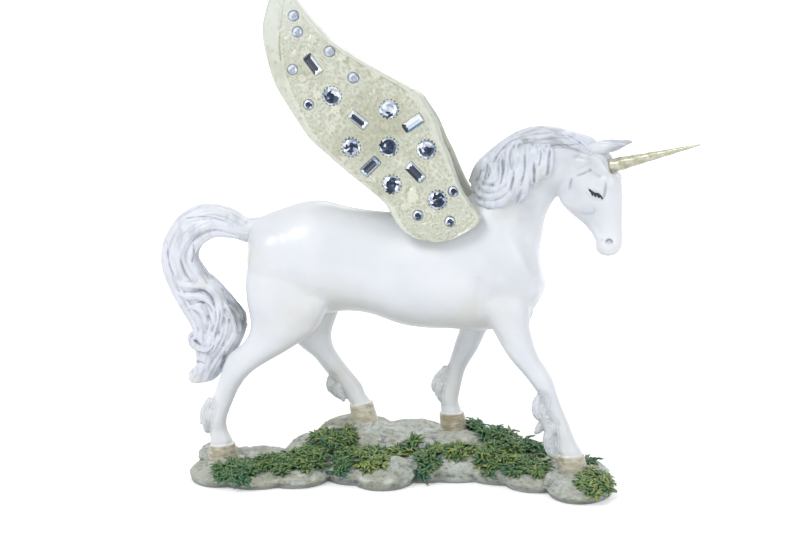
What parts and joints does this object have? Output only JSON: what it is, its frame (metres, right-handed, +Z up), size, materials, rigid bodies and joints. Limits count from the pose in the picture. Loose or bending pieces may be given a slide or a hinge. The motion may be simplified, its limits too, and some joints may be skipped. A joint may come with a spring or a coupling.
{
  "type": "figurine",
  "caption": "Painted resin figurine of a winged white unicorn walking on a rock and grass base, with foil-backed crystals set in ivory pearl wings and a gold spiral horn",
  "frame": {"origin": "middle of the flat underside of the base, on its resting plane", "axes": "+X towards the horn, along the walk; +Y to the unicorn's left; +Z up"},
  "size_m": [0.1931, 0.0676, 0.1802],
  "materials": {
    "white_resin": "satin",
    "horn_gold": "satin",
    "wing_pearl": "satin",
    "gem_glass": "polished"
  },
  "bodies": {
    "root": {"unicorn_casting": "white_resin", "horn": "horn_gold", "wing_right": "wing_pearl", "wing_left": "wing_pearl", "gem_round_right_1": "gem_glass", "gem_round_right_2": "gem_glass", "gem_round_right_3": "gem_glass", "gem_round_right_4": "gem_glass", "gem_round_right_5": "gem_glass", "gem_round_right_6": "gem_glass", "gem_round_right_7": "gem_glass", "gem_small_right_1": "gem_glass", "gem_small_right_2": "gem_glass", "gem_small_right_3": "gem_glass", "gem_small_right_4": "gem_glass", "gem_small_right_5": "gem_glass", "gem_small_right_6": "gem_glass", "gem_small_right_7": "gem_glass", "gem_small_right_8": "gem_glass", "gem_small_right_9": "gem_glass", "gem_baguette_right_1": "gem_glass", "gem_baguette_right_2": "gem_glass", "gem_baguette_right_3": "gem_glass", "gem_baguette_right_4": "gem_glass", "gem_baguette_right_5": "gem_glass", "gem_round_left_1": "gem_glass", "gem_round_left_2": "gem_glass", "gem_round_left_3": "gem_glass", "gem_round_left_4": "gem_glass", "gem_round_left_5": "gem_glass", "gem_round_left_6": "gem_glass", "gem_round_left_7": "gem_glass", "gem_small_left_1": "gem_glass", "gem_small_left_2": "gem_glass", "gem_small_left_3": "gem_glass", "gem_small_left_4": "gem_glass", "gem_small_left_5": "gem_glass", "gem_small_left_6": "gem_glass", "gem_small_left_7": "gem_glass", "gem_small_left_8": "gem_glass", "gem_small_left_9": "gem_glass", "gem_baguette_left_1": "gem_glass", "gem_baguette_left_2": "gem_glass", "gem_baguette_left_3": "gem_glass", "gem_baguette_left_4": "gem_glass", "gem_baguette_left_5": "gem_glass"}
  },
  "joints": []
}
